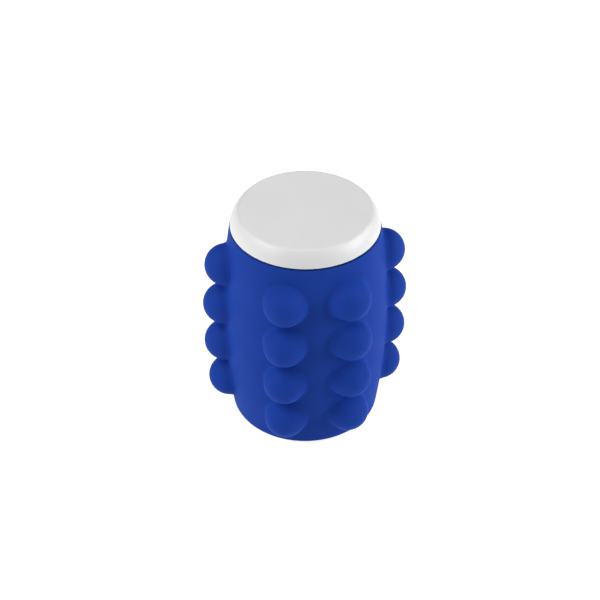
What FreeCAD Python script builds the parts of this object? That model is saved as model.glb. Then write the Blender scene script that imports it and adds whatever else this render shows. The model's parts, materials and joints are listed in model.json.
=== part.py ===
"""Pipette filler bulb: a barrel-shaped rubber bulb with grip nubs and a rounded vent cap.

The bulb stands on its flat base. Its pipette socket opens downwards in the middle of that base.
A rigid valve housing closes the bulb's mouth. The thumb presses the cap to shorten the bulb:
air leaves past the exhaust ball, and the bulb draws liquid as it springs back. A quarter turn
of the cap lines up the ports of the vent disc and its gasket, which lets the liquid out.

Frame: millimetres, +Z up along the bulb's axis, origin at the centre of the base.
The front pair of nub columns faces -Y, and the single side columns face -X and +X.
"""

import math
import os

import FreeCAD
import Part

V = FreeCAD.Vector
Z_AXIS = V(0, 0, 1)

# Bulb: the outer wall is an arc of a barrel, the same above and below its middle
BULB_HEIGHT = 67.3
MID_RADIUS = 25.0
END_RADIUS = 22.5
WALL = 2.6
BASE_THICKNESS = 5.0
BASE_EDGE_ROUND = 1.5
RIM_EDGE_ROUND = 0.3
RIM_CREST_RADIUS = 22.15  # the rim's top slopes down from here to the housing's flange
MID_Z = BULB_HEIGHT / 2
BULGE = MID_RADIUS - END_RADIUS
ARC_RADIUS = (MID_Z**2 + BULGE**2) / (2 * BULGE)
INNER_CORNER = 2.0

REACH = 100.0  # longer than anything here, for cutters that pass right through
EDGE_BREAK = 0.5  # on the moulded pieces' outer edges

# Grip nubs: balls centred on the outer wall, in columns set out as angles from -Y towards +X
NUB_RADIUS = 6.4
NUB_ROWS = 4
NUB_PITCH = 14.5
NUB_FIRST_Z = MID_Z - NUB_PITCH * (NUB_ROWS - 1) / 2
PAIR_HALF_ANGLE = 23.4
SEAM_ANGLE = -50.0  # the wall's surface closes on itself here, between two columns
NUB_COLUMNS = [
    -PAIR_HALF_ANGLE,
    PAIR_HALF_ANGLE,
    90.0,
    180.0 - PAIR_HALF_ANGLE,
    180.0 + PAIR_HALF_ANGLE,
    270.0,
]

# Mouth of the bulb, which the valve housing snaps into
MOUTH_RADIUS = 18.5
MOUTH_START_Z = 58.8
MOUTH_LEAD = 2.8
RABBET_RADIUS = 20.7
RABBET_Z = 65.6
GROOVE_RADIUS = 19.9
GROOVE_Z = (60.8, 62.8)
GROOVE_SLOPE = 0.4

# Opening in the base, which the pipette socket is clamped in
OPENING_RADIUS = 11.1
COUNTERBORE_RADIUS = 14.8
COUNTERBORE_DEPTH = 2.8

# Pipette socket
SOCKET_FLANGE_RADIUS = 14.5
SOCKET_FLANGE_THICKNESS = 2.0
SOCKET_THREAD_RADIUS = 9.0
SOCKET_BARREL_RADIUS = 10.2
SOCKET_FOOT_Z = 1.5
SOCKET_TOP_Z = 22.6
SLEEVE_RADIUS = 7.4
SLEEVE_TOP_Z = 17.0
GRIP_RADIUS = 3.6
GRIP_Z = (6.0, 14.0)
SLEEVE_MOUTH_RADIUS = 5.0
SLEEVE_AIR_RADIUS = 2.4
SLEEVE_GROOVE_FEET = (4.0, 8.0, 12.0)
SLEEVE_GROOVE_WIDTH = 1.0
SLEEVE_GROOVE_DEPTH = 0.4
SEAT_WEB_RADIUS = 5.0
FILTER_SEAT_Z = 18.4
FILTER_POCKET_RADIUS = 8.6
NUT_FOOT_Z = 0.3
NUT_FLANGE_THICKNESS = 2.0
NUT_HUB_RADIUS = 11.0
NUT_MOUTH_RADIUS = 5.4
NUT_SLOTS = 4
NUT_SLOT_WIDTH = 2.6
NUT_SLOT_DEPTH = 1.1
NUT_SLOT_START = 10.4
SUPPORT_THICKNESS = 1.0
SUPPORT_HOLE_RADIUS = 0.7
MEMBRANE_THICKNESS = 0.4
FILTER_RING_RADIUS = 7.5
FILTER_RING_SECTION = 0.85
COVER_RADIUS = 11.8
COVER_TOP_Z = 24.2
COVER_WEB = 1.5
COVER_SKIRT_FOOT_Z = 17.0
COVER_RING_RADIUS = 6.4
COVER_HOLE_RADIUS = 1.0
COVER_SLOTS = 6
COVER_SLOT_WIDTH = 1.6

# Valve housing
HOUSING_RADIUS = 18.4
HOUSING_WALL = 1.8
HOUSING_FLOOR_Z = 57.0
HOUSING_FLOOR = 2.5
HOUSING_TOP_Z = 66.9
HOUSING_FLANGE_RADIUS = 20.5
HOUSING_FLANGE = 1.2
BEAD_RADIUS = 19.7
BEAD_Z = (61.0, 62.6)
BOSS_RADIUS = 3.4
BOSS_TOP_Z = 62.0
FLOOR_TOP_Z = HOUSING_FLOOR_Z + HOUSING_FLOOR
CUP_RADIUS = HOUSING_RADIUS - HOUSING_WALL
FRAME_STEP = 0.2  # how far the gasket's frame stays below the gasket's face

# Vent: a port in the floor and gasket at angle 0, and one in the disc that a quarter turn brings to it
PORT_RADIUS = 1.3
PORT_OFFSET = 6.2
DISC_PORT_ANGLE = -90.0
GASKET_RADIUS = 9.0
GASKET_THICKNESS = 1.0
GASKET_RIM = 0.85
GASKET_TAB_ANGLE = 90.0
GASKET_TAB_WIDTH = 2.0
GASKET_TOP_Z = FLOOR_TOP_Z + GASKET_THICKNESS
STAY_ANGLES = (75.0, 105.0, 255.0, 285.0)
STAY_WIDTH = 1.2
DISC_RADIUS = 8.6
DISC_THICKNESS = 2.05
RUNNING_GAP = 0.05
LUG_ANGLES = (45.0, 225.0)
LUG_WIDTH = 2.0
LUG_START = 7.3
LUG_END = 9.4
LUG_FOOT_Z = 60.9
STOP_ANGLE = 45.0
STOP_SPAN = 10.0
STOP_START = 13.2
POST_ANGLES = (34.0, 146.0)
POST_SPAN = 9.0
POST_START = 13.0
POST_TOP_Z = 62.5

# Exhaust valve: a ball on a round seat in a pocket with four guide ribs
EXHAUST_ANGLE = 180.0
EXHAUST_OFFSET = 13.0
EXHAUST_SEAT_RADIUS = 1.2
BALL_RADIUS = 2.0
BALL_LIFT = 1.0
POCKET_RADIUS = 2.6
POCKET_WALL = 0.8
POCKET_TOP_Z = 65.2
CAGE_WALL = 0.8
GUIDE_COUNT = 4
GUIDE_WIDTH = 0.8
GUIDE_GAP = 0.08
BALL_GAP = 0.03
BALL_Z = FLOOR_TOP_Z + math.sqrt(BALL_RADIUS**2 - EXHAUST_SEAT_RADIUS**2) + BALL_GAP

# Cap: a flat top, and a steep edge that swells a little between its two radii
CAP_RADIUS = 22.3
CAP_FLAT_RADIUS = 19.8
CAP_FOOT_Z = 67.95
CAP_EDGE_Z = 68.0
CAP_TOP_Z = 72.9
CAP_EDGE_SWELL = 0.5
CAP_EDGE_ROUND = 1.0
CAP_FOOT_SLOPE = 0.15
CAP_WALL = 2.1
CAP_CEILING_Z = CAP_TOP_Z - CAP_WALL
SKIRT_RADIUS = 16.5
SKIRT_WALL = 1.4
SKIRT_FOOT_Z = 65.5
SKIRT_NOTCHES = 4
SKIRT_NOTCH_WIDTH = 3.0
RIB_START = 5.2
RIB_WIDTH = 1.6
ROOT = 0.5  # how far the cap's inner shapes run into its ceiling
CAP_BOSS_RADIUS = 3.3
CAP_BOSS_FOOT_Z = 62.7
SHANK_RADIUS = 1.5
THREAD_RADIUS = 1.35
SCREW_TOP_Z = 69.5
SCREW_HEAD_RADIUS = 2.7
SCREW_HEAD_HEIGHT = 1.85
CROSS_LENGTH = 3.0
CROSS_WIDTH = 0.6
CROSS_DEPTH = 1.1
WASHER_THICKNESS = 0.5
WASHER_RADIUS = 3.2
PIVOT_RING_RADIUS = 2.2
PIVOT_RING_SECTION = 0.62
PIVOT_POCKET = (2.85, 1.5)
SPRING_RADIUS = 4.3
SPRING_WIRE = 0.35
SPRING_OPEN_TURNS = 3
SPRING_END_GAP = 0.05


def barrel_radius(z, wall=0.0):
    """Radius of the outer wall at height z, or of the inner wall when a wall thickness is given."""
    rise = z - MID_Z
    return MID_RADIUS - wall - ((ARC_RADIUS - wall) - math.sqrt((ARC_RADIUS - wall) ** 2 - rise**2))


def turned(outline):
    """Turns a closed outline about Z.

    An entry is a point (r, z), or an arc (r, z, r, z) by way of its first point.
    """
    ends = [V(e[-2], 0, e[-1]) for e in outline]
    edges = []
    for i, entry in enumerate(outline):
        start = ends[i - 1]
        if len(entry) == 4:
            edges.append(Part.Arc(start, V(entry[0], 0, entry[1]), ends[i]).toShape())
        else:
            edges.append(Part.LineSegment(start, ends[i]).toShape())
    face = Part.Face(Part.Wire(edges))
    return face.revolve(V(0, 0, 0), Z_AXIS, 360)


def rod(radius, z0, z1, x=0.0, y=0.0):
    return Part.makeCylinder(radius, z1 - z0, V(x, y, z0))


def tube(outer, inner, z0, z1):
    return rod(outer, z0, z1).cut(rod(inner, z0 - 1, z1 + 1))


def on_circle(radius, degrees, z=0.0):
    """Point at an angle from +X towards +Y."""
    a = math.radians(degrees)
    return V(radius * math.cos(a), radius * math.sin(a), z)


def bar(r0, r1, width, z0, z1, degrees):
    """Radial bar of constant width from radius r0 to r1, at an angle from +X."""
    shape = Part.makeBox(r1 - r0, width, z1 - z0, V(r0, -width / 2, z0))
    shape.rotate(V(0, 0, 0), Z_AXIS, degrees)
    return shape


def sector(r0, r1, span, z0, z1, degrees):
    """Block between two radii that spans an angle, centred on an angle from +X."""
    outer = Part.makeCylinder(r1, z1 - z0, V(0, 0, z0), Z_AXIS, span)
    shape = outer.cut(rod(r0, z0 - 1, z1 + 1))
    shape.rotate(V(0, 0, 0), Z_AXIS, degrees - span / 2)
    return shape


def bore(radius, spot=V(0, 0, 0)):
    """Cutter for a round hole right through."""
    return rod(radius, -REACH, REACH, spot.x, spot.y)


def bores(radius, offset, count, first=0.0):
    """Cutters for round holes, evenly spaced on a circle."""
    return [bore(radius, on_circle(offset, first + 360.0 * i / count)) for i in range(count)]


def ring_edges(shape, radius, z):
    """The round edges of a turned shape at a radius and a height."""
    close = 0.01
    boxes = [(e, e.BoundBox) for e in shape.Edges]
    level = [e for e, box in boxes if abs(box.ZMin - z) < close and abs(box.ZMax - z) < close]
    return [e for e in level if abs(e.BoundBox.XMax - radius) < close and e.BoundBox.XMin < 0]


def nub_centres():
    rows = [NUB_FIRST_Z + NUB_PITCH * i for i in range(NUB_ROWS)]
    return [on_circle(barrel_radius(z), column - 90.0, z) for column in NUB_COLUMNS for z in rows]


def bulb_body():
    """Silicone bulb: the barrel with its nubs, less the inside, the mouth and the socket's opening."""
    barrel = turned([
        (0, 0),
        (END_RADIUS, 0),
        (MID_RADIUS, MID_Z, END_RADIUS, BULB_HEIGHT),
        (0, BULB_HEIGHT),
    ])
    barrel = barrel.makeFillet(BASE_EDGE_ROUND, ring_edges(barrel, END_RADIUS, 0))
    barrel = barrel.makeFillet(RIM_EDGE_ROUND, ring_edges(barrel, END_RADIUS, BULB_HEIGHT))
    barrel.rotate(V(0, 0, 0), Z_AXIS, SEAM_ANGLE)
    body = barrel.multiFuse([Part.makeSphere(NUB_RADIUS, c) for c in nub_centres()])
    return body.cut(bulb_cavity())


def bulb_cavity():
    z0 = BASE_THICKNESS
    low = barrel_radius(z0 + INNER_CORNER, WALL)
    high_z = MOUTH_START_Z - MOUTH_LEAD
    high = barrel_radius(high_z, WALL)
    diagonal = INNER_CORNER * (1 - math.sqrt(0.5))
    inside = turned([
        (0, z0),
        (low - INNER_CORNER, z0),
        (low - diagonal, z0 + diagonal, low, z0 + INNER_CORNER),
        (MID_RADIUS - WALL, MID_Z, high, high_z),
        (MOUTH_RADIUS, MOUTH_START_Z),
        (MOUTH_RADIUS, GROOVE_Z[0]),
        (GROOVE_RADIUS, GROOVE_Z[0] + GROOVE_SLOPE),
        (GROOVE_RADIUS, GROOVE_Z[1] - GROOVE_SLOPE),
        (MOUTH_RADIUS, GROOVE_Z[1]),
        (MOUTH_RADIUS, RABBET_Z),
        (RABBET_RADIUS, RABBET_Z),
        (RABBET_RADIUS, HOUSING_TOP_Z),
        (RIM_CREST_RADIUS, BULB_HEIGHT),
        (RIM_CREST_RADIUS, BULB_HEIGHT + 1),
        (0, BULB_HEIGHT + 1),
    ])
    opening = rod(OPENING_RADIUS, -1, z0 + 1)
    counterbore = rod(COUNTERBORE_RADIUS, -1, COUNTERBORE_DEPTH)
    return inside.fuse([opening, counterbore])


def socket_body():
    """Rigid socket: its flange sits on the bulb's base inside, and its thread comes down through it."""
    flange_top = BASE_THICKNESS + SOCKET_FLANGE_THICKNESS
    bore = SLEEVE_RADIUS + RUNNING_GAP
    return turned([
        (bore, SOCKET_FOOT_Z),
        (SOCKET_THREAD_RADIUS, SOCKET_FOOT_Z),
        (SOCKET_THREAD_RADIUS, BASE_THICKNESS),
        (SOCKET_FLANGE_RADIUS, BASE_THICKNESS),
        (SOCKET_FLANGE_RADIUS, flange_top - EDGE_BREAK),
        (SOCKET_FLANGE_RADIUS - EDGE_BREAK, flange_top),
        (SOCKET_BARREL_RADIUS + 1, flange_top),
        (SOCKET_BARREL_RADIUS + 0.3, flange_top + 0.3, SOCKET_BARREL_RADIUS, flange_top + 1),
        (SOCKET_BARREL_RADIUS, SOCKET_TOP_Z - EDGE_BREAK),
        (SOCKET_BARREL_RADIUS - EDGE_BREAK, SOCKET_TOP_Z),
        (FILTER_POCKET_RADIUS, SOCKET_TOP_Z),
        (FILTER_POCKET_RADIUS, FILTER_SEAT_Z),
        (SEAT_WEB_RADIUS, FILTER_SEAT_Z),
        (SEAT_WEB_RADIUS, SLEEVE_TOP_Z),
        (bore, SLEEVE_TOP_Z),
    ])


def socket_nut():
    """Ring nut that clamps the bulb's base against the socket's flange, and holds the sleeve in."""
    flange_top = NUT_FOOT_Z + NUT_FLANGE_THICKNESS
    thread = SOCKET_THREAD_RADIUS + RUNNING_GAP
    nut = turned([
        (NUT_MOUTH_RADIUS + EDGE_BREAK, NUT_FOOT_Z),
        (SOCKET_FLANGE_RADIUS - EDGE_BREAK, NUT_FOOT_Z),
        (SOCKET_FLANGE_RADIUS, NUT_FOOT_Z + EDGE_BREAK),
        (SOCKET_FLANGE_RADIUS, flange_top),
        (NUT_HUB_RADIUS, flange_top),
        (NUT_HUB_RADIUS, BASE_THICKNESS),
        (thread, BASE_THICKNESS),
        (thread, SOCKET_FOOT_Z),
        (NUT_MOUTH_RADIUS, SOCKET_FOOT_Z),
        (NUT_MOUTH_RADIUS, NUT_FOOT_Z + EDGE_BREAK),
    ])
    slot_top = NUT_FOOT_Z + NUT_SLOT_DEPTH
    angles = [45 + 360 / NUT_SLOTS * i for i in range(NUT_SLOTS)]
    slots = [bar(NUT_SLOT_START, SOCKET_FLANGE_RADIUS + 1, NUT_SLOT_WIDTH, 0, slot_top, a) for a in angles]
    return nut.cut(slots)


def slip_washer():
    flange_top = NUT_FOOT_Z + NUT_FLANGE_THICKNESS
    return tube(SOCKET_FLANGE_RADIUS - 0.1, OPENING_RADIUS + 0.05, flange_top, COUNTERBORE_DEPTH)


def pipette_sleeve():
    """Soft sleeve that grips the pipette: a lead-in, the grip, then a stop with an air hole."""
    sleeve = turned([
        (SLEEVE_MOUTH_RADIUS, SOCKET_FOOT_Z),
        (SLEEVE_RADIUS, SOCKET_FOOT_Z),
        (SLEEVE_RADIUS, SLEEVE_TOP_Z),
        (SLEEVE_AIR_RADIUS, SLEEVE_TOP_Z),
        (SLEEVE_AIR_RADIUS, GRIP_Z[1]),
        (GRIP_RADIUS, GRIP_Z[1]),
        (GRIP_RADIUS, GRIP_Z[0]),
        (SLEEVE_MOUTH_RADIUS, SOCKET_FOOT_Z + 0.6),
    ])
    groove_floor = SLEEVE_RADIUS - SLEEVE_GROOVE_DEPTH
    width = SLEEVE_GROOVE_WIDTH
    return sleeve.cut([tube(SLEEVE_RADIUS + 1, groove_floor, z, z + width) for z in SLEEVE_GROOVE_FEET])


def filter_support():
    """Perforated disc that the membrane lies on."""
    disc = rod(FILTER_POCKET_RADIUS - 0.1, FILTER_SEAT_Z, FILTER_SEAT_Z + SUPPORT_THICKNESS)
    hole = SUPPORT_HOLE_RADIUS
    return disc.cut([bore(hole)] + bores(hole, 2.4, 6) + bores(hole, 4.6, 12, 15))


def filter_membrane():
    z0 = FILTER_SEAT_Z + SUPPORT_THICKNESS
    return rod(FILTER_POCKET_RADIUS - 0.15, z0, z0 + MEMBRANE_THICKNESS)


def filter_o_ring():
    z = FILTER_SEAT_Z + SUPPORT_THICKNESS + MEMBRANE_THICKNESS + FILTER_RING_SECTION
    return Part.makeTorus(FILTER_RING_RADIUS, FILTER_RING_SECTION, V(0, 0, z))


def filter_cover():
    """Snap-on cover: it presses the O-ring down on the membrane's edge, and its holes let air through."""
    web_z = COVER_TOP_Z - COVER_WEB
    ring_foot = FILTER_SEAT_Z + SUPPORT_THICKNESS + MEMBRANE_THICKNESS + 2 * FILTER_RING_SECTION
    skirt_inner = SOCKET_BARREL_RADIUS + 0.1
    cover = turned([
        (0, web_z),
        (COVER_RING_RADIUS, web_z),
        (COVER_RING_RADIUS, ring_foot),
        (FILTER_POCKET_RADIUS - 0.1, ring_foot),
        (FILTER_POCKET_RADIUS - 0.1, web_z),
        (skirt_inner, web_z),
        (skirt_inner, COVER_SKIRT_FOOT_Z),
        (COVER_RADIUS - EDGE_BREAK, COVER_SKIRT_FOOT_Z),
        (COVER_RADIUS, COVER_SKIRT_FOOT_Z + EDGE_BREAK),
        (COVER_RADIUS, COVER_TOP_Z - 0.8),
        (COVER_RADIUS - 0.8, COVER_TOP_Z),
        (0, COVER_TOP_Z),
    ])
    angles = [360 / COVER_SLOTS * i for i in range(COVER_SLOTS)]
    slot_foot, slot_top = COVER_SKIRT_FOOT_Z - 1, web_z - EDGE_BREAK
    slots = [bar(skirt_inner - 1, COVER_RADIUS + 1, COVER_SLOT_WIDTH, slot_foot, slot_top, a) for a in angles]
    return cover.cut([bore(COVER_HOLE_RADIUS)] + bores(COVER_HOLE_RADIUS, 3.6, 6) + slots)


def exhaust_spot():
    return on_circle(EXHAUST_OFFSET, EXHAUST_ANGLE)


def valve_housing():
    """Rigid cup that closes the bulb's mouth and holds the vent's port and the exhaust valve's seat."""
    bead_low, bead_high = BEAD_Z
    flange_z = HOUSING_TOP_Z - HOUSING_FLANGE
    cup = turned([
        (0, HOUSING_FLOOR_Z),
        (HOUSING_RADIUS - 1, HOUSING_FLOOR_Z),
        (HOUSING_RADIUS, HOUSING_FLOOR_Z + 1),
        (HOUSING_RADIUS, bead_low),
        (BEAD_RADIUS, bead_low + 0.4),
        (BEAD_RADIUS, bead_high - 0.4),
        (HOUSING_RADIUS, bead_high),
        (HOUSING_RADIUS, flange_z),
        (HOUSING_FLANGE_RADIUS, flange_z),
        (HOUSING_FLANGE_RADIUS, HOUSING_TOP_Z),
        (CUP_RADIUS, HOUSING_TOP_Z),
        (CUP_RADIUS, FLOOR_TOP_Z),
        (0, FLOOR_TOP_Z),
    ])
    return cup.fuse(housing_ribs()).cut(housing_openings()).fuse(ball_guides())


def housing_ribs():
    """What stands on the housing's floor: boss, gasket frame with its stays, ball pocket and stop posts."""
    foot = FLOOR_TOP_Z - 1
    frame_top = GASKET_TOP_Z - FRAME_STEP
    into_wall = CUP_RADIUS + 0.5
    spot = exhaust_spot()
    ribs = [
        rod(BOSS_RADIUS, foot, BOSS_TOP_Z),
        tube(GASKET_RADIUS + GASKET_RIM, GASKET_RADIUS + RUNNING_GAP, foot, frame_top),
        rod(POCKET_RADIUS + POCKET_WALL, foot, POCKET_TOP_Z, spot.x, spot.y),
    ]
    ribs += [sector(POST_START, into_wall, POST_SPAN, foot, POST_TOP_Z, a) for a in POST_ANGLES]
    ribs += [bar(GASKET_RADIUS + 0.5, into_wall, STAY_WIDTH, foot, frame_top, a) for a in STAY_ANGLES]
    return ribs


def housing_openings():
    """What is cut from the housing: the pivot's bore and ring pocket, the two ports, and the tab's slot."""
    ring_pocket_radius, ring_pocket_depth = PIVOT_POCKET
    spot = exhaust_spot()
    tab_slot = GASKET_TAB_WIDTH + 0.1
    tab_start, tab_end = GASKET_RADIUS - 0.5, GASKET_RADIUS + GASKET_RIM + 1
    return [
        bore(SHANK_RADIUS + 0.08),
        rod(ring_pocket_radius, HOUSING_FLOOR_Z - 1, HOUSING_FLOOR_Z + ring_pocket_depth),
        bore(PORT_RADIUS, on_circle(PORT_OFFSET, 0)),
        bore(EXHAUST_SEAT_RADIUS, spot),
        rod(POCKET_RADIUS, FLOOR_TOP_Z, REACH, spot.x, spot.y),
        bar(tab_start, tab_end, tab_slot, FLOOR_TOP_Z, GASKET_TOP_Z, GASKET_TAB_ANGLE),
    ]


def ball_guides():
    """Ribs in the ball's pocket that keep it over its seat and let air past."""
    start, end = BALL_RADIUS + GUIDE_GAP, POCKET_RADIUS + 0.3
    foot, top = FLOOR_TOP_Z - 0.2, BALL_Z + BALL_RADIUS
    angles = [45 + 360 / GUIDE_COUNT * i for i in range(GUIDE_COUNT)]
    ribs = [bar(start, end, GUIDE_WIDTH, foot, top, a) for a in angles]
    for rib in ribs:
        rib.translate(exhaust_spot())
    return ribs


def vent_gasket():
    """Soft ring the vent disc turns on: its port lies over the housing's, and a tab keeps it there."""
    ring = tube(GASKET_RADIUS, BOSS_RADIUS + 0.1, FLOOR_TOP_Z, GASKET_TOP_Z)
    tab_start, tab_end = GASKET_RADIUS - 0.5, GASKET_RADIUS + GASKET_RIM
    tab_top = GASKET_TOP_Z - FRAME_STEP
    tab = bar(tab_start, tab_end, GASKET_TAB_WIDTH, FLOOR_TOP_Z, tab_top, GASKET_TAB_ANGLE)
    return ring.fuse(tab).cut(bore(PORT_RADIUS, on_circle(PORT_OFFSET, 0)))


def vent_disc():
    """Rotary valve disc, driven by the cap's two lugs."""
    z0 = GASKET_TOP_Z + RUNNING_GAP
    z1 = z0 + DISC_THICKNESS
    disc = tube(DISC_RADIUS, BOSS_RADIUS + 0.1, z0, z1)
    notches = [bar(LUG_START - 0.1, DISC_RADIUS + 1, LUG_WIDTH + 0.1, z0 - 1, z1 + 1, a) for a in LUG_ANGLES]
    return disc.cut(notches + [bore(PORT_RADIUS, on_circle(PORT_OFFSET, DISC_PORT_ANGLE))])


def disc_spring():
    """Compression spring between the vent disc and the cap: a closed turn at each end, open turns between.

    Each half turn is a half ring in a plane tilted by its rise, so its ends meet the next one's squarely.
    """
    foot = GASKET_TOP_Z + RUNNING_GAP + DISC_THICKNESS + SPRING_WIRE
    height = CAP_CEILING_Z - SPRING_WIRE - foot
    closed_pitch = 2 * SPRING_WIRE + SPRING_END_GAP
    open_pitch = (height - 2 * closed_pitch) / SPRING_OPEN_TURNS
    halves = []
    side = 1
    for pitch in [closed_pitch] + [open_pitch] * SPRING_OPEN_TURNS + [closed_pitch]:
        for _ in range(2):
            start = V(side * SPRING_RADIUS, 0, foot)
            end = V(-side * SPRING_RADIUS, 0, foot + pitch / 2)
            middle = (start + end) / 2
            tangent = V(0, side, 0)
            section = Part.Face(Part.Wire(Part.makeCircle(SPRING_WIRE, start, tangent)))
            halves.append(section.revolve(middle, (start - middle).cross(tangent), 180))
            foot += pitch / 2
            side = -side
    return halves[0].fuse(halves[1:])


def cap():
    """Thumb cap: its skirt turns in the housing's cup, two lugs drive the disc, and a rib meets the stops."""
    top = CAP_CEILING_Z + ROOT
    parts = [
        tube(SKIRT_RADIUS, SKIRT_RADIUS - SKIRT_WALL, SKIRT_FOOT_Z, top),
        rod(CAP_BOSS_RADIUS, CAP_BOSS_FOOT_Z, top),
        sector(STOP_START, SKIRT_RADIUS - 1, STOP_SPAN, LUG_FOOT_Z, top, STOP_ANGLE),
    ]
    parts += [bar(RIB_START, SKIRT_RADIUS - 1, RIB_WIDTH, SKIRT_FOOT_Z + ROOT, top, a) for a in LUG_ANGLES]
    parts += [bar(LUG_START, LUG_END, LUG_WIDTH, LUG_FOOT_Z, top, a) for a in LUG_ANGLES]
    notch_start, notch_end = SKIRT_RADIUS - 2 * SKIRT_WALL, SKIRT_RADIUS + 1
    angles = [360 / SKIRT_NOTCHES * i for i in range(SKIRT_NOTCHES)]
    cuts = [bar(notch_start, notch_end, SKIRT_NOTCH_WIDTH, SKIRT_FOOT_Z - 1, CAP_FOOT_Z, a) for a in angles]
    cuts.append(rod(THREAD_RADIUS + 0.02, LUG_FOOT_Z, SCREW_TOP_Z + 0.5))
    return cap_shell().fuse(parts).cut(cuts)


def cap_shell():
    """The cap's top and edge."""
    drop, run = CAP_TOP_Z - CAP_EDGE_Z, CAP_RADIUS - CAP_FLAT_RADIUS
    slope = math.hypot(drop, run)
    swell_r = (CAP_RADIUS + CAP_FLAT_RADIUS) / 2 + CAP_EDGE_SWELL * drop / slope
    swell_z = (CAP_TOP_Z + CAP_EDGE_Z) / 2 + CAP_EDGE_SWELL * run / slope
    inner = CAP_RADIUS - CAP_WALL
    shell = turned([
        (0, CAP_CEILING_Z),
        (inner - run * (CAP_CEILING_Z - CAP_EDGE_Z) / drop, CAP_CEILING_Z),
        (inner, CAP_EDGE_Z),
        (inner, CAP_FOOT_Z),
        (CAP_RADIUS - CAP_FOOT_SLOPE, CAP_FOOT_Z),
        (CAP_RADIUS, CAP_EDGE_Z),
        (swell_r, swell_z, CAP_FLAT_RADIUS, CAP_TOP_Z),
        (0, CAP_TOP_Z),
    ])
    return shell.makeFillet(CAP_EDGE_ROUND, ring_edges(shell, CAP_FLAT_RADIUS, CAP_TOP_Z))


def pivot_screw():
    """Cross-head screw that holds the cap down and is the pivot it turns on."""
    head_top = HOUSING_FLOOR_Z - RUNNING_GAP - WASHER_THICKNESS
    head_foot = head_top - SCREW_HEAD_HEIGHT
    screw = turned([
        (0, head_foot),
        (SCREW_HEAD_RADIUS - 1, head_foot),
        (SCREW_HEAD_RADIUS - 0.3, head_foot + 0.3, SCREW_HEAD_RADIUS, head_foot + 1),
        (SCREW_HEAD_RADIUS, head_top),
        (SHANK_RADIUS, head_top),
        (SHANK_RADIUS, CAP_BOSS_FOOT_Z),
        (THREAD_RADIUS, CAP_BOSS_FOOT_Z),
        (THREAD_RADIUS, SCREW_TOP_Z - EDGE_BREAK),
        (THREAD_RADIUS - EDGE_BREAK, SCREW_TOP_Z),
        (0, SCREW_TOP_Z),
    ])
    half, floor = CROSS_LENGTH / 2, head_foot + CROSS_DEPTH
    return screw.cut([bar(-half, half, CROSS_WIDTH, head_foot - 1, floor, a) for a in (0, 90)])


def pivot_washer():
    top = HOUSING_FLOOR_Z - RUNNING_GAP
    return tube(WASHER_RADIUS, SHANK_RADIUS + RUNNING_GAP, top - WASHER_THICKNESS, top)


def thrust_washer():
    z0 = BOSS_TOP_Z + RUNNING_GAP
    return tube(CAP_BOSS_RADIUS, SHANK_RADIUS + 0.1, z0, CAP_BOSS_FOOT_Z)


def pivot_o_ring():
    z = HOUSING_FLOOR_Z + PIVOT_POCKET[1] / 2
    return Part.makeTorus(PIVOT_RING_RADIUS, PIVOT_RING_SECTION, V(0, 0, z))


def exhaust_ball():
    spot = exhaust_spot()
    return Part.makeSphere(BALL_RADIUS, V(spot.x, spot.y, BALL_Z))


def exhaust_cage():
    """Press-in ring with a cross bar, which stops the ball at the end of its lift."""
    spot = exhaust_spot()
    stop_z = BALL_Z + BALL_RADIUS + BALL_LIFT + BALL_GAP
    ring = tube(POCKET_RADIUS, POCKET_RADIUS - CAGE_WALL, stop_z - 0.2, POCKET_TOP_Z)
    half = POCKET_RADIUS - CAGE_WALL / 2
    cage = ring.fuse([bar(-half, half, CAGE_WALL, stop_z, POCKET_TOP_Z, a) for a in (45, 135)])
    cage.translate(spot)
    return cage


NODES = [
    bulb_body,
    socket_body,
    socket_nut,
    slip_washer,
    pipette_sleeve,
    filter_support,
    filter_membrane,
    filter_o_ring,
    filter_cover,
    valve_housing,
    vent_gasket,
    vent_disc,
    disc_spring,
    cap,
    pivot_screw,
    pivot_washer,
    thrust_washer,
    pivot_o_ring,
    exhaust_ball,
    exhaust_cage,
]


def main():
    os.makedirs("parts", exist_ok=True)
    for make in NODES:
        shape = make()
        if len(shape.Solids) == 1:
            shape = shape.Solids[0]
        name = make.__name__
        shape.exportStep(f"parts/{name}.step")
        print(f"{name}: {len(shape.Solids)} solid, {shape.Volume:.1f} mm3, valid {shape.isValid()}")


main()
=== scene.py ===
import json
import math

import bpy
import numpy as np
from mathutils import Matrix, Vector


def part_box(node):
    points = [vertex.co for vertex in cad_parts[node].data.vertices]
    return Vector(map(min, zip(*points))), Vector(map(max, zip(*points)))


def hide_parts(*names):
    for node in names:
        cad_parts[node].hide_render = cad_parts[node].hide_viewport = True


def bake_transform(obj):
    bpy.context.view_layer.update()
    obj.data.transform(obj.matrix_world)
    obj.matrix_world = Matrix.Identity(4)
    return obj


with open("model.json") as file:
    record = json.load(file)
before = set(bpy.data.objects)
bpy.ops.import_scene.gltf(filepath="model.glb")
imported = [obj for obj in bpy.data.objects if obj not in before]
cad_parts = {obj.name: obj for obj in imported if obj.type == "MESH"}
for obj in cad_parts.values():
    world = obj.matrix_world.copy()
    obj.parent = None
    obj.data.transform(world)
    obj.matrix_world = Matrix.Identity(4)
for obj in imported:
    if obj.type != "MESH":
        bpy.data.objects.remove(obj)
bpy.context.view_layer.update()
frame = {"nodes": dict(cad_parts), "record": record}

MM = 0.001

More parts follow.
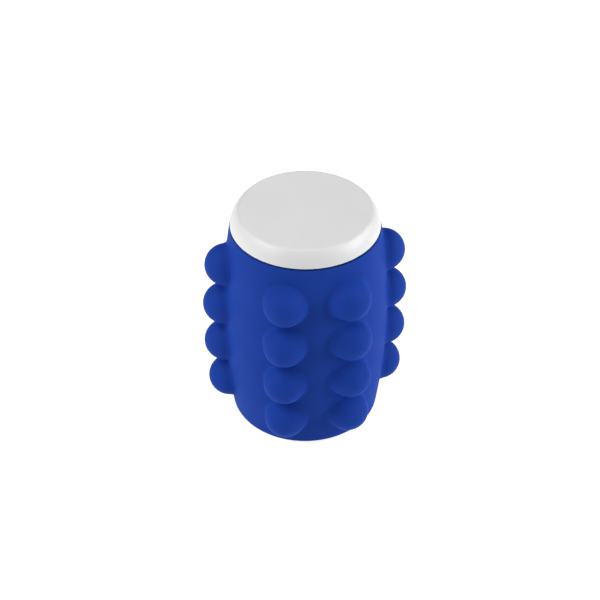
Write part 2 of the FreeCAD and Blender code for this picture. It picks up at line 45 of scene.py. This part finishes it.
# The bulb, in millimetres, as in the frame: a barrel whose wall bulges between its two ends
BULB_LOW, BULB_HIGH = (np.array(corner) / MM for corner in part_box("bulb_body"))
BULB_HEIGHT = BULB_HIGH[2] - BULB_LOW[2]
MID_Z = BULB_HEIGHT / 2
MID_RADIUS = 25.0
END_RADIUS = 22.5
BULGE = MID_RADIUS - END_RADIUS
ARC_RADIUS = (MID_Z**2 + BULGE**2) / (2 * BULGE)
WALL = 2.6
OUTSIDE_TOP_Z, OUTSIDE_FOOT_Z = BULB_HEIGHT - 1.0, 1.9  # the outer wall, without its rounded ends
INSIDE_TOP_Z, INSIDE_FOOT_Z = 54.5, 8.5  # the inner wall

# Its mouth: a rim, a rabbet for the housing's flange, and a groove for the housing's snap ring
RIM_CREST_RADIUS = 22.15
RABBET_CLEARANCE = 0.2
FLANGE_THICKNESS = 1.3
MOUTH_RADIUS = 18.5
MOUTH_FOOT_Z = 58.8
GROOVE_RADIUS = 19.9
GROOVE_FOOT_Z, GROOVE_TOP_Z = 61.2, 62.4
GROOVE_SLOPE_HEIGHT = 0.4

# Its base: a floor with a hole for the socket, over a recess for the socket's nut
BASE_FLOOR_Z = 5.0
SOCKET_HOLE_RADIUS = 11.1
NUT_RECESS_DEPTH = 2.8
NUT_CLEARANCE = 0.3

# Grip nubs
NUB_RADIUS = 6.4
NUB_PITCH = 14.5
NUB_ROWS = 4
NUB_FIRST_Z = MID_Z - NUB_PITCH * (NUB_ROWS - 1) / 2
PAIR_HALF_ANGLE = 23.4
NUB_COLUMNS = [
    -PAIR_HALF_ANGLE,
    PAIR_HALF_ANGLE,
    90.0,
    180.0 - PAIR_HALF_ANGLE,
    180.0 + PAIR_HALF_ANGLE,
    270.0,
]
BLEND = 1.2  # how far from a nub's foot its soft blend into the wall starts

# Mesh of the bulb: each nub has a square cell of the wall's grid, filled with rings
CELL_HALF = NUB_PITCH / 2
CELL_STEPS = 22
STEP = NUB_PITCH / CELL_STEPS
SQUARE_TO_ROUND = (0.35, 0.7)  # how round the rings between a cell's edge and its first circle are
WALL_RINGS = [7.05, 6.7, 6.4]
DOME_ANGLES = [86, 81, 76, 70, 63, 56, 49, 42, 35, 28, 21, 14, 7]

# Camera: a long lens, a little to the bulb's left and well above it, with lengths in middle radii
CAMERA_AZIMUTH = -9.2
CAMERA_ELEVATION = 39.1
CAMERA_DISTANCE = 20.8
CAMERA_AIM_HEIGHT = 1.30
CAMERA_LEFT = 0.063
CAMERA_UP = 0.19
LENS = 101.4
SENSOR_WIDTH = 36.0

# Soft boxes: where each stands, its size in metres, and its power in watts
BOXES = {
    "left_high": ((-0.50, -0.05, 0.60), (0.5, 0.5), 4.9),
    "left_front": ((-0.58, -0.30, 0.30), (0.3, 0.4), 0.9),
    "right_mid": ((0.62, 0.0, 0.34), (0.4, 0.4), 2.6),
    "right_front": ((0.58, -0.30, 0.30), (0.3, 0.4), 2.5),
    "top_back": ((0.0, 0.40, 0.80), (0.9, 0.5), 1.0),
}
FLOOR_HALF = 3.0
# How brightly the floor's own light falls on the object, and how bright that light looks from the camera
FLOOR_LIGHT = 0.60
FLOOR_GLOW = 0.80


def barrel_radius(z, wall=0.0):
    """Radius of the barrel at height z, at its outer wall or at a wall's thickness inside it."""
    arc = ARC_RADIUS - wall
    return MID_RADIUS - wall - (arc - np.sqrt(arc**2 - (z - MID_Z) ** 2))


def around(radius, degrees, z):
    """Points at an angle from -Y towards +X."""
    a = np.radians(degrees)
    return np.stack(np.broadcast_arrays(radius * np.sin(a), -radius * np.cos(a), z), axis=-1)


NUB_CENTRES = np.array([
    around(barrel_radius(NUB_FIRST_Z + NUB_PITCH * row), column, NUB_FIRST_Z + NUB_PITCH * row)
    for column in NUB_COLUMNS
    for row in range(NUB_ROWS)
])


def skin_distance(points):
    """Distance to the bulb's outer skin: the barrel and the nubs, joined by a soft blend."""
    r = np.hypot(points[:, 0], points[:, 1])
    wall = np.hypot(r - (MID_RADIUS - ARC_RADIUS), points[:, 2] - MID_Z) - ARC_RADIUS
    gaps = np.linalg.norm(points[:, None, :] - NUB_CENTRES[None, :, :], axis=2) - NUB_RADIUS
    gaps = np.sort(gaps, axis=1)[:, :2]
    result = wall
    for gap in gaps.T:
        overlap = np.maximum(BLEND - np.abs(result - gap), 0.0) / BLEND
        result = np.minimum(result, gap) - overlap**2 * BLEND / 4
    return result


def onto_skin(points):
    """Moves points along the distance's slope until they lie on the bulb's outer skin."""
    points = points.copy()
    rounds, reach, least_slope = 6, 1e-3, 0.2
    for _ in range(rounds):
        value = skin_distance(points)
        slope = np.empty_like(points)
        for axis in range(3):
            shift = np.zeros(3)
            shift[axis] = reach
            rise = skin_distance(points + shift) - skin_distance(points - shift)
            slope[:, axis] = rise / (2 * reach)
        points -= slope * (value / np.maximum((slope**2).sum(axis=1), least_slope))[:, None]
    return points


def rounded(corners, steps=4):
    """An open outline through (r, z, rounding) corners, as (r, z) points. Its two ends stay sharp."""
    result = [corners[0][:2]]
    for before, corner, after in zip(corners, corners[1:], corners[2:]):
        rounding = corner[2]
        place = Vector(corner[:2])
        one = (Vector(before[:2]) - place).normalized()
        two = (Vector(after[:2]) - place).normalized()
        half = one.angle(two) / 2
        cut = rounding / math.tan(half)
        centre = place + (one + two).normalized() * (rounding / math.sin(half))
        start, end = place + one * cut, place + two * cut
        for i in range(steps + 1):
            spoke = (start - centre).lerp(end - centre, i / steps)
            result.append(tuple(centre + spoke.normalized() * rounding))
    result.append(corners[-1][:2])
    return result


def make_piece(name, points, faces, material, replaced):
    """A smooth-shaded piece from points in millimetres, which stands for a CAD node."""
    mesh = bpy.data.meshes.new(name)
    mesh.from_pydata([tuple(p) for p in np.asarray(points) * MM], [], faces)
    mesh.validate()
    mesh.shade_smooth()
    piece = bpy.data.objects.new(name, mesh)
    bpy.context.scene.collection.objects.link(piece)
    mesh.materials.append(material)
    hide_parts(replaced)
    return piece


def column_angles():
    """Angles that the mesh's upright lines stand at, and each nub column's first line."""
    cell_half = math.degrees(CELL_HALF / MID_RADIUS)
    angles, firsts = [], []
    for column, following in zip(NUB_COLUMNS, NUB_COLUMNS[1:] + [NUB_COLUMNS[0] + 360]):
        firsts.append(len(angles))
        cell = np.linspace(column - cell_half, column + cell_half, CELL_STEPS + 1)
        gap_start, gap_end = column + cell_half, following - cell_half
        gap_steps = max(2, round(math.radians(gap_end - gap_start) * MID_RADIUS / STEP))
        angles.extend(cell[:-1])
        angles.extend(np.linspace(gap_start, gap_end, gap_steps + 1)[:-1])
    return np.array(angles), firsts


def upright(start, end, count, wall=0.0):
    """Points up or down the barrel's outer wall, or a wall's thickness inside it."""
    return [(barrel_radius(z, wall), z) for z in np.linspace(start, end, count)]


def bulb_outline():
    """The (r, z) outline from above the nubs over the rim, down inside, out of the base, up to the nubs."""
    nubs_top = NUB_FIRST_Z + NUB_PITCH * (NUB_ROWS - 0.5)
    nubs_foot = NUB_FIRST_Z - NUB_PITCH / 2
    housing = np.array(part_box("valve_housing")[1]) / MM
    rabbet = housing[0] + RABBET_CLEARANCE
    rabbet_floor = housing[2] - FLANGE_THICKNESS
    recess = np.array(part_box("socket_nut")[1])[0] / MM + NUT_CLEARANCE

    outside = upright(nubs_top, OUTSIDE_TOP_Z, 8)
    inside = upright(INSIDE_TOP_Z, INSIDE_FOOT_Z, 24, WALL)
    lower = upright(OUTSIDE_FOOT_Z, nubs_foot, 6)
    mouth = rounded([
        (*outside[-1], 0),
        (END_RADIUS, BULB_HEIGHT, 0.28),
        (RIM_CREST_RADIUS, BULB_HEIGHT, 0.05),
        (rabbet, housing[2], 0.1),
        (rabbet, rabbet_floor, 0.2),
        (MOUTH_RADIUS, rabbet_floor, 0.35),
        (MOUTH_RADIUS, GROOVE_TOP_Z + GROOVE_SLOPE_HEIGHT, 0.15),
        (GROOVE_RADIUS, GROOVE_TOP_Z, 0.15),
        (GROOVE_RADIUS, GROOVE_FOOT_Z, 0.15),
        (MOUTH_RADIUS, GROOVE_FOOT_Z - GROOVE_SLOPE_HEIGHT, 0.15),
        (MOUTH_RADIUS, MOUTH_FOOT_Z, 1.2),
        (*inside[0], 0),
    ])
    base = rounded(
        [
            (*inside[-1], 0),
            (barrel_radius(BASE_FLOOR_Z, WALL), BASE_FLOOR_Z, 2.0),
            (SOCKET_HOLE_RADIUS, BASE_FLOOR_Z, 0.3),
            (SOCKET_HOLE_RADIUS, NUT_RECESS_DEPTH, 0.2),
            (recess, NUT_RECESS_DEPTH, 0.3),
            (recess, 0.0, 0.35),
            (END_RADIUS, 0.0, 1.5),
            (*lower[-1], 0),
        ],
        steps=6,
    )
    return outside + mouth[1:-1] + inside + base[1:-1] + lower[:-1], nubs_foot, nubs_top


def bulb_mesh():
    """Points and faces of the whole bulb: an upright grid, a patch for each nub, and the turned rest."""
    angles, firsts = column_angles()
    outline, nubs_foot, nubs_top = bulb_outline()
    around_count = len(angles)
    heights = np.linspace(nubs_foot, nubs_top, NUB_ROWS * CELL_STEPS + 1)
    points, faces = [], []

    def add(new):
        start = len(points)
        points.extend(new)
        return list(range(start, start + len(new)))

    in_cell = np.zeros((len(heights), around_count), bool)
    for first in firsts:
        for row in range(NUB_ROWS):
            z0 = row * CELL_STEPS
            in_cell[z0 + 1:z0 + CELL_STEPS, first + 1:first + CELL_STEPS] = True

    grid = -np.ones((len(heights), around_count), int)
    for j, z in enumerate(heights):
        for i in np.flatnonzero(~in_cell[j]):
            grid[j, i] = add([around(barrel_radius(z), angles[i], z)])[0]
    for j in range(len(heights) - 1):
        for i, n in neighbours(around_count):
            quad = [grid[j, i], grid[j, n], grid[j + 1, n], grid[j + 1, i]]
            if min(quad) >= 0 and not is_cell(i, firsts):
                faces.append(quad)

    for column, first in zip(NUB_COLUMNS, firsts):
        for row in range(NUB_ROWS):
            add_nub(add, faces, grid, column, first, row)

    points[:] = list(onto_skin(np.array(points)))
    rings = [list(grid[-1])]
    for r, z in outline[1:]:
        rings.append(add(list(around(r, angles, z))))
    rings.append(list(grid[0]))
    join_rings(faces, rings)
    return points, faces


def neighbours(count):
    """Each place round a closed ring, with the place after it."""
    return [(i, (i + 1) % count) for i in range(count)]


def join_rings(faces, rings):
    """Adds the band of faces between each ring of points and the next."""
    for low, high in zip(rings, rings[1:]):
        for i, n in neighbours(len(low)):
            faces.append([low[i], low[n], high[n], high[i]])


def is_cell(line, firsts):
    """Whether the strip that starts at an upright line belongs to a nub column."""
    return any(first <= line < first + CELL_STEPS for first in firsts)


def add_nub(add, faces, grid, column, first, row):
    """One nub: rings from its square cell's edge in to a circle, over the blend and up to its crown."""
    z0 = row * CELL_STEPS
    steps = range(CELL_STEPS)
    edge = [(z0, first + s) for s in steps]
    edge += [(z0 + s, first + CELL_STEPS) for s in steps]
    edge += [(z0 + CELL_STEPS, first + CELL_STEPS - s) for s in steps]
    edge += [(z0 + CELL_STEPS - s, first) for s in steps]
    count = grid.shape[1]
    outer = [grid[j, i % count] for j, i in edge]
    centre_z = NUB_FIRST_Z + NUB_PITCH * row
    u = np.array([(i - first) * STEP - CELL_HALF for j, i in edge])
    v = np.array([(j - z0) * STEP - CELL_HALF for j, i in edge])
    direction = np.arctan2(v, u)
    circle = np.stack([np.cos(direction), np.sin(direction)], axis=1)
    square = np.stack([u, v], axis=1)

    rings = [outer]
    for t in SQUARE_TO_ROUND:
        flat = square * (1 - t) + circle * WALL_RINGS[0] * t
        rings.append(add(list(on_wall(flat, column, centre_z))))
    for radius in WALL_RINGS:
        rings.append(add(list(on_wall(circle * radius, column, centre_z))))
    out = around(1.0, column, 0.0)
    side = around(1.0, column + 90, 0.0)
    centre = around(barrel_radius(centre_z), column, centre_z)
    for angle in DOME_ANGLES:
        a = math.radians(angle)
        sideways = circle[:, :1] * side + circle[:, 1:] * np.array([0, 0, 1])
        offset = out * math.cos(a) + sideways * math.sin(a)
        rings.append(add(list(centre + NUB_RADIUS * offset)))
    crown = add([centre + NUB_RADIUS * out])[0]
    join_rings(faces, rings)
    last = rings[-1]
    for i, n in neighbours(len(last)):
        faces.append([last[i], last[n], crown])


def on_wall(flat, column, centre_z):
    """Points on the barrel's wall, at distances (across, up) from a nub's centre."""
    z = centre_z + flat[:, 1]
    return around(barrel_radius(z), column + np.degrees(flat[:, 0] / MID_RADIUS), z)


# Materials

def new_material(name):
    """An empty node material: its nodes, its links and its shader."""
    material = bpy.data.materials.new(name)
    material.use_nodes = True
    tree = material.node_tree
    return material, tree, tree.nodes["Principled BSDF"]


def node(tree, kind, **values):
    """A new node with its inputs set; an input's spaces are underscores in the keyword."""
    made = tree.nodes.new(kind)
    for name, value in values.items():
        made.inputs[name.replace("_", " ")].default_value = value
    return made


def noise(tree, scale, detail, roughness=0.5):
    """Noise in the object's own frame: scale 1000 gives features about a millimetre across."""
    place = tree.nodes.new("ShaderNodeTexCoord")
    made = node(tree, "ShaderNodeTexNoise", Scale=scale, Detail=detail, Roughness=roughness)
    tree.links.new(place.outputs["Object"], made.inputs["Vector"])
    return made.outputs["Fac"]


def colours(tree, factor, dark, light):
    """Blends two colours by a factor, over the middle part of its range."""
    ramp = tree.nodes.new("ShaderNodeValToRGB")
    for stop, position, colour in zip(ramp.color_ramp.elements, (0.3, 0.7), (dark, light)):
        stop.position = position
        stop.color = (*colour, 1)
    tree.links.new(factor, ramp.inputs["Fac"])
    return ramp.outputs["Color"]


def spread(tree, factor, low, high):
    """Maps a 0 to 1 factor to a range."""
    made = node(tree, "ShaderNodeMapRange", To_Min=low, To_Max=high)
    tree.links.new(factor, made.inputs["Value"])
    return made.outputs["Result"]


def bump(tree, shader, height, strength, distance, after=None):
    """Bumps the shader's surface by a height, on top of the bump that comes before it."""
    made = node(tree, "ShaderNodeBump", Strength=strength, Distance=distance)
    tree.links.new(height, made.inputs["Height"])
    if after:
        tree.links.new(after.outputs["Normal"], made.inputs["Normal"])
    tree.links.new(made.outputs["Normal"], shader.inputs["Normal"])
    return made


def silicone_blue():
    """Royal-blue moulded silicone: satin, with the fine grain of the mould and faint clouding."""
    material, tree, shader = new_material("blue_silicone")
    clouds = noise(tree, scale=70, detail=3)
    shade = colours(tree, clouds, dark=(0.0092, 0.041, 0.270), light=(0.0106, 0.045, 0.296))
    tree.links.new(shade, shader.inputs["Base Color"])
    grain = noise(tree, scale=2600, detail=3)
    gloss = spread(tree, noise(tree, scale=160, detail=4), low=0.50, high=0.62)
    tree.links.new(gloss, shader.inputs["Roughness"])
    soft = bump(tree, shader, noise(tree, scale=260, detail=2), strength=0.12, distance=0.0002)
    bump(tree, shader, grain, strength=0.10, distance=0.00006, after=soft)
    shader.inputs["Specular IOR Level"].default_value = 0.03
    shader.inputs["Sheen Weight"].default_value = 0.38
    shader.inputs["Sheen Roughness"].default_value = 0.4
    shader.inputs["Sheen Tint"].default_value = (0.04, 0.16, 1.0, 1)
    return material


def moulded_plastic(name, dark, light, gloss):
    """Moulded plastic: slight clouding, uneven gloss and a fine orange peel."""
    material, tree, shader = new_material(name)
    clouds = noise(tree, scale=55, detail=3)
    tree.links.new(colours(tree, clouds, dark, light), shader.inputs["Base Color"])
    tree.links.new(spread(tree, noise(tree, scale=240, detail=4), *gloss), shader.inputs["Roughness"])
    soft = bump(tree, shader, noise(tree, scale=420, detail=2), strength=0.06, distance=0.00015)
    bump(tree, shader, noise(tree, scale=3800, detail=2), strength=0.06, distance=0.00003, after=soft)
    return material


def soft_rubber(name, dark, light, gloss):
    """Rubber with a matte, slightly dusty skin."""
    material, tree, shader = new_material(name)
    dust = noise(tree, scale=900, detail=4)
    tree.links.new(colours(tree, dust, dark, light), shader.inputs["Base Color"])
    tree.links.new(spread(tree, noise(tree, scale=1400, detail=3), *gloss), shader.inputs["Roughness"])
    bump(tree, shader, noise(tree, scale=5200, detail=3), strength=0.12, distance=0.00003)
    return material


def steel(name, dark, light, gloss, stretch):
    """Stainless steel, with its fine marks drawn out along one axis of the object."""
    material, tree, shader = new_material(name)
    place = tree.nodes.new("ShaderNodeTexCoord")
    mapping = node(tree, "ShaderNodeMapping", Scale=stretch)
    marks = node(tree, "ShaderNodeTexNoise", Scale=3000, Detail=3)
    tree.links.new(place.outputs["Object"], mapping.inputs["Vector"])
    tree.links.new(mapping.outputs["Vector"], marks.inputs["Vector"])
    tree.links.new(colours(tree, marks.outputs["Fac"], dark, light), shader.inputs["Base Color"])
    tree.links.new(spread(tree, marks.outputs["Fac"], *gloss), shader.inputs["Roughness"])
    shader.inputs["Metallic"].default_value = 1.0
    bump(tree, shader, marks.outputs["Fac"], strength=0.06, distance=0.00002)
    return material


def membrane():
    """White porous membrane with a fine matted fibre."""
    material, tree, shader = new_material("porous_membrane")
    fibres = noise(tree, scale=6000, detail=6, roughness=0.7)
    shade = colours(tree, fibres, dark=(0.70, 0.70, 0.68), light=(0.88, 0.88, 0.86))
    tree.links.new(shade, shader.inputs["Base Color"])
    tree.links.new(spread(tree, fibres, low=0.8, high=0.95), shader.inputs["Roughness"])
    bump(tree, shader, fibres, strength=0.3, distance=0.00005)
    return material


def slot_materials():
    """A material for each material slot of the record. Gloss is a range of roughness."""
    return {
        "bulb_silicone": silicone_blue(),
        "cap_plastic": moulded_plastic(
            "cap_plastic", dark=(0.64, 0.64, 0.64), light=(0.67, 0.67, 0.67), gloss=(0.34, 0.44)
        ),
        "housing_plastic": moulded_plastic(
            "housing_plastic", dark=(0.66, 0.67, 0.68), light=(0.74, 0.75, 0.76), gloss=(0.4, 0.55)
        ),
        "socket_plastic": moulded_plastic(
            "socket_plastic", dark=(0.62, 0.63, 0.65), light=(0.70, 0.71, 0.73), gloss=(0.28, 0.4)
        ),
        "disc_plastic": moulded_plastic(
            "disc_plastic", dark=(0.74, 0.73, 0.67), light=(0.82, 0.81, 0.76), gloss=(0.2, 0.3)
        ),
        "washer_plastic": moulded_plastic(
            "washer_plastic", dark=(0.76, 0.76, 0.74), light=(0.84, 0.84, 0.82), gloss=(0.45, 0.6)
        ),
        "sleeve_silicone": soft_rubber(
            "sleeve_silicone", dark=(0.48, 0.49, 0.50), light=(0.58, 0.59, 0.60), gloss=(0.45, 0.6)
        ),
        "seal_rubber": soft_rubber(
            "seal_rubber", dark=(0.018, 0.018, 0.02), light=(0.04, 0.04, 0.042), gloss=(0.5, 0.7)
        ),
        "filter_membrane": membrane(),
        "spring_steel": steel(
            "spring_steel",
            dark=(0.46, 0.46, 0.47),
            light=(0.62, 0.62, 0.63),
            gloss=(0.25, 0.4),
            stretch=(1, 1, 1),
        ),
        "screw_steel": steel(
            "screw_steel",
            dark=(0.48, 0.48, 0.49),
            light=(0.64, 0.64, 0.65),
            gloss=(0.28, 0.45),
            stretch=(1, 1, 0.1),
        ),
        "ball_steel": steel(
            "ball_steel",
            dark=(0.62, 0.62, 0.63),
            light=(0.70, 0.70, 0.71),
            gloss=(0.06, 0.14),
            stretch=(1, 1, 1),
        ),
    }


def paint_cad_nodes(materials):
    """Gives each CAD node that stays the material of its record slot."""
    for entry in frame["record"]["subparts"]:
        target = frame["nodes"][entry["node"]]
        target.data.materials.clear()
        target.data.materials.append(materials[entry["material_slot"]])


# Stage

def area_light(name, place, aim, size, power):
    light = bpy.data.lights.new(name, "AREA")
    light.shape = "RECTANGLE"
    light.size, light.size_y = size
    light.energy = power
    holder = bpy.data.objects.new(name, light)
    holder.location = place
    holder.rotation_euler = (Vector(aim) - Vector(place)).to_track_quat("-Z", "Y").to_euler()
    bpy.context.scene.collection.objects.link(holder)


def paper():
    """The floor's paper, which glows a little. Its glow looks brighter from the camera than it lights."""
    material, tree, shader = new_material("floor_paper")
    clouds = noise(tree, scale=30, detail=3)
    shade = colours(tree, clouds, dark=(0.50, 0.50, 0.50), light=(0.52, 0.52, 0.52))
    tree.links.new(shade, shader.inputs["Base Color"])
    shader.inputs["Roughness"].default_value = 0.9
    shader.inputs["Emission Color"].default_value = (1, 1, 1, 1)
    seen = node(tree, "ShaderNodeLightPath").outputs["Is Camera Ray"]
    tree.links.new(spread(tree, seen, FLOOR_LIGHT, FLOOR_GLOW), shader.inputs["Emission Strength"])
    return material


def make_stage():
    """A pale, lit floor and the soft boxes. The world gives no light."""
    mesh = bpy.data.meshes.new("floor")
    half = FLOOR_HALF
    corners = [(-half, -half, 0), (half, -half, 0), (half, half, 0), (-half, half, 0)]
    mesh.from_pydata(corners, [], [(0, 1, 2, 3)])
    floor = bpy.data.objects.new("floor", mesh)
    bpy.context.scene.collection.objects.link(floor)
    mesh.materials.append(paper())

    world = bpy.data.worlds.new("surround")
    world.use_nodes = True
    world.node_tree.nodes["Background"].inputs["Strength"].default_value = 0.0
    bpy.context.scene.world = world
    for name, (place, size, power) in BOXES.items():
        area_light(name, place, (0, 0, MID_Z * MM), size, power)


def make_camera():
    """Points the camera at the bulb from the front."""
    azimuth, elevation = math.radians(CAMERA_AZIMUTH), math.radians(CAMERA_ELEVATION)
    radius = MID_RADIUS * MM
    back = Vector((
        math.sin(azimuth) * math.cos(elevation),
        -math.cos(azimuth) * math.cos(elevation),
        math.sin(elevation),
    ))
    facing = back.to_track_quat("Z", "Y").to_matrix()
    data = bpy.data.cameras.new("camera")
    data.lens = LENS
    data.sensor_width = SENSOR_WIDTH
    camera = bpy.data.objects.new("camera", data)
    place = Vector((0, 0, CAMERA_AIM_HEIGHT * radius)) + back * CAMERA_DISTANCE * radius
    place += facing.col[1] * CAMERA_UP * radius - facing.col[0] * CAMERA_LEFT * radius
    camera.matrix_world = Matrix.Translation(place) @ facing.to_4x4()
    bpy.context.scene.collection.objects.link(camera)
    bpy.context.scene.camera = camera


def main():
    make_camera()
    bpy.context.scene.view_settings.view_transform = "Standard"
    slots = slot_materials()
    paint_cad_nodes(slots)
    points, faces = bulb_mesh()
    bulb = make_piece("bulb_skin", points, faces, slots["bulb_silicone"], "bulb_body")
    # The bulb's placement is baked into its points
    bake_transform(bulb)
    make_stage()


main()
